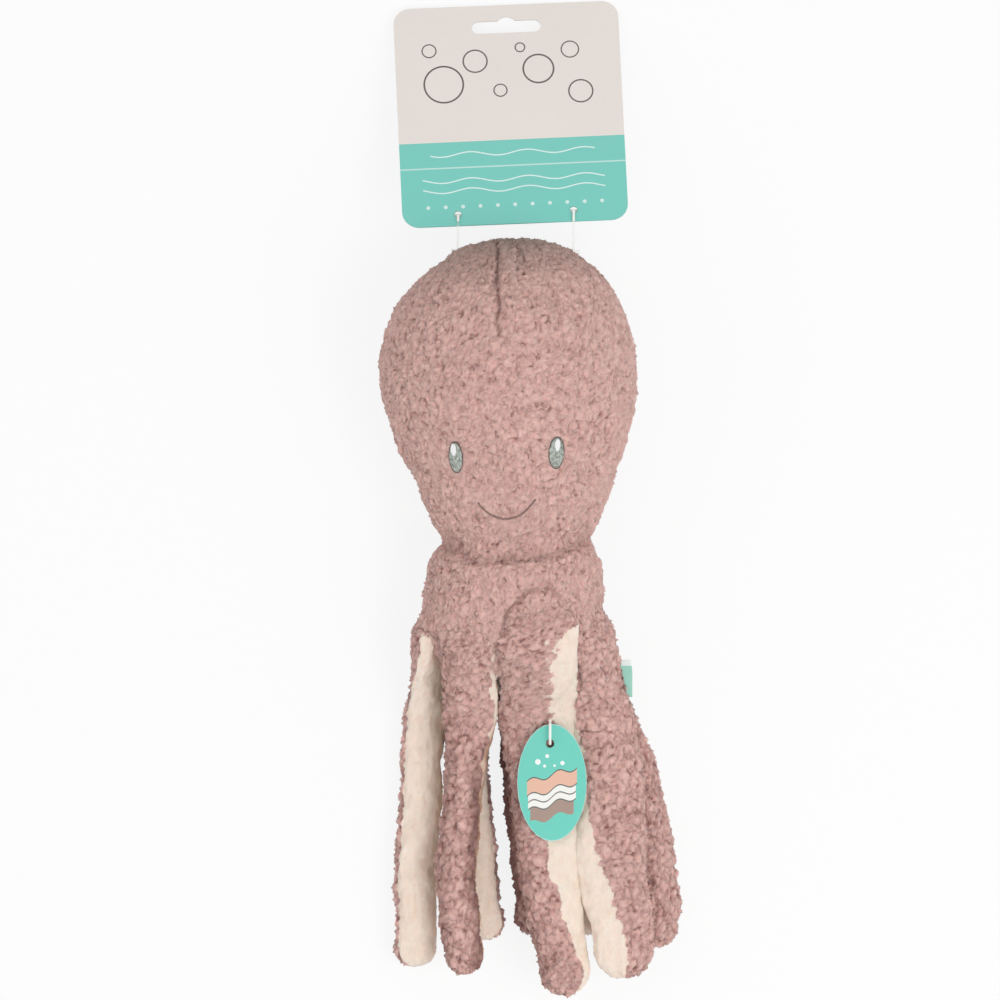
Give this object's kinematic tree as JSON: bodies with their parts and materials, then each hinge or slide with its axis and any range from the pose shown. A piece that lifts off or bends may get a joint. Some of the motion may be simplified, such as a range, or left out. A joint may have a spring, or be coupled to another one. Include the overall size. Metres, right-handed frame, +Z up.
{
  "type": "plush octopus",
  "caption": "Stuffed plush octopus toy with a balloon head, stitched face, hanging tentacles with fleece undersides, a shop hang card and an oval swing tag",
  "frame": {"origin": "on the flat under the widest part of the head, where the toy rests lying on its back", "axes": "+Z up out of the face, +Y from the tentacles to the hang card, +X to the viewer's right"},
  "size_m": [0.1389, 0.4601, 0.0918],
  "materials": {
    "plush": "dusty rose sherpa fleece with curly pile",
    "lining": "cream short-pile fleece",
    "stuffing": "white polyester fibre filling",
    "nylon": "plain grey nylon cloth",
    "silver_thread": "silver-grey satin stitches",
    "white_thread": "white satin stitches",
    "grey_thread": "dark grey stitches",
    "soft_plastic": "off-white soft vinyl",
    "card_stock": "printed coated card, cream above and teal below",
    "tag_card": "printed coated card, teal with a white edge",
    "tie_plastic": "translucent white plastic thread",
    "woven": "woven tape, white with a mint-teal band"
  },
  "bodies": {
    "head": {"head_front_panel": "plush", "head_back_panel": "plush", "head_filling_front": "stuffing", "head_filling_back": "stuffing", "squeaker_pouch": "nylon", "squeaker_bulb": "soft_plastic", "squeaker_reed": "soft_plastic", "eye_left": "silver_thread", "eye_left_glint": "white_thread", "eye_right": "silver_thread", "eye_right_glint": "white_thread", "mouth": "grey_thread"},
    "skirt": {"skirt_front_panel": "plush", "skirt_back_panel": "plush", "base_panel": "lining", "skirt_filling": "stuffing"},
    "tentacle_front": {"tentacle_front_plush": "plush", "tentacle_front_lining": "lining", "tentacle_front_filling": "stuffing"},
    "tentacle_front_right": {"tentacle_front_right_plush": "plush", "tentacle_front_right_lining": "lining", "tentacle_front_right_filling": "stuffing", "side_label": "woven"},
    "tentacle_right": {"tentacle_right_plush": "plush", "tentacle_right_lining": "lining", "tentacle_right_filling": "stuffing"},
    "tentacle_back_right": {"tentacle_back_right_plush": "plush", "tentacle_back_right_lining": "lining", "tentacle_back_right_filling": "stuffing"},
    "tentacle_back": {"tentacle_back_plush": "plush", "tentacle_back_lining": "lining", "tentacle_back_filling": "stuffing"},
    "tentacle_back_left": {"tentacle_back_left_plush": "plush", "tentacle_back_left_lining": "lining", "tentacle_back_left_filling": "stuffing"},
    "tentacle_left": {"tentacle_left_plush": "plush", "tentacle_left_lining": "lining", "tentacle_left_filling": "stuffing"},
    "tentacle_front_left": {"tentacle_front_left_plush": "plush", "tentacle_front_left_lining": "lining", "tentacle_front_left_filling": "stuffing"},
    "hang_card": {"hang_card": "card_stock", "card_fastener_left": "tie_plastic", "card_fastener_right": "tie_plastic"},
    "swing_tag": {"swing_tag": "tag_card", "tag_loop": "tie_plastic"}
  },
  "joints": [
    {"name": "neck_bend", "type": "hinge", "parent": "head", "child": "skirt", "pos_m": [0.004, -0.078, 0.036], "axis": [-1, 0, 0], "range_deg": [-18, 18]},
    {"name": "tentacle_front_swing", "type": "hinge", "parent": "skirt", "child": "tentacle_front", "pos_m": [0.01381, -0.1243, 0.05956], "axis": [-0.9928, 0, 0.1201], "range_deg": [0, 90]},
    {"name": "tentacle_front_right_swing", "type": "hinge", "parent": "skirt", "child": "tentacle_front_right", "pos_m": [0.04777, -0.1243, 0.04361], "axis": [-0.6141, 0, 0.7892], "range_deg": [0, 90]},
    {"name": "tentacle_right_swing", "type": "hinge", "parent": "skirt", "child": "tentacle_right", "pos_m": [0.04125, -0.1243, 0.01081], "axis": [0.81, 0, 0.5864], "range_deg": [0, 90]},
    {"name": "tentacle_back_right_swing", "type": "hinge", "parent": "skirt", "child": "tentacle_back_right", "pos_m": [0.01841, -0.1243, 0.00173], "axis": [0.9837, 0, 0.1795], "range_deg": [0, 90]},
    {"name": "tentacle_back_swing", "type": "hinge", "parent": "skirt", "child": "tentacle_back", "pos_m": [-0.00465, -0.1243, 0.0009], "axis": [0.9944, 0, -0.1054], "range_deg": [0, 90]},
    {"name": "tentacle_back_left_swing", "type": "hinge", "parent": "skirt", "child": "tentacle_back_left", "pos_m": [-0.02715, -0.1243, 0.00714], "axis": [0.8945, 0, -0.4471], "range_deg": [0, 90]},
    {"name": "tentacle_left_swing", "type": "hinge", "parent": "skirt", "child": "tentacle_left", "pos_m": [-0.04456, -0.1243, 0.03155], "axis": [-0.0639, 0, -0.998], "range_deg": [0, 90]},
    {"name": "tentacle_front_left_swing", "type": "hinge", "parent": "skirt", "child": "tentacle_front_left", "pos_m": [-0.02126, -0.1243, 0.05598], "axis": [-0.9406, 0, -0.3396], "range_deg": [0, 90]},
    {"name": "hang_card_swing", "type": "hinge", "parent": "head", "child": "hang_card", "pos_m": [0.00359, 0.05457, 0.04565], "axis": [1, -0.0081, 0], "range_deg": [0, 80]},
    {"name": "swing_tag_flip", "type": "hinge", "parent": "tentacle_front", "child": "swing_tag", "pos_m": [0.01948, -0.1608, 0.03408], "axis": [-1, 0, 0], "range_deg": [0, 90]}
  ]
}
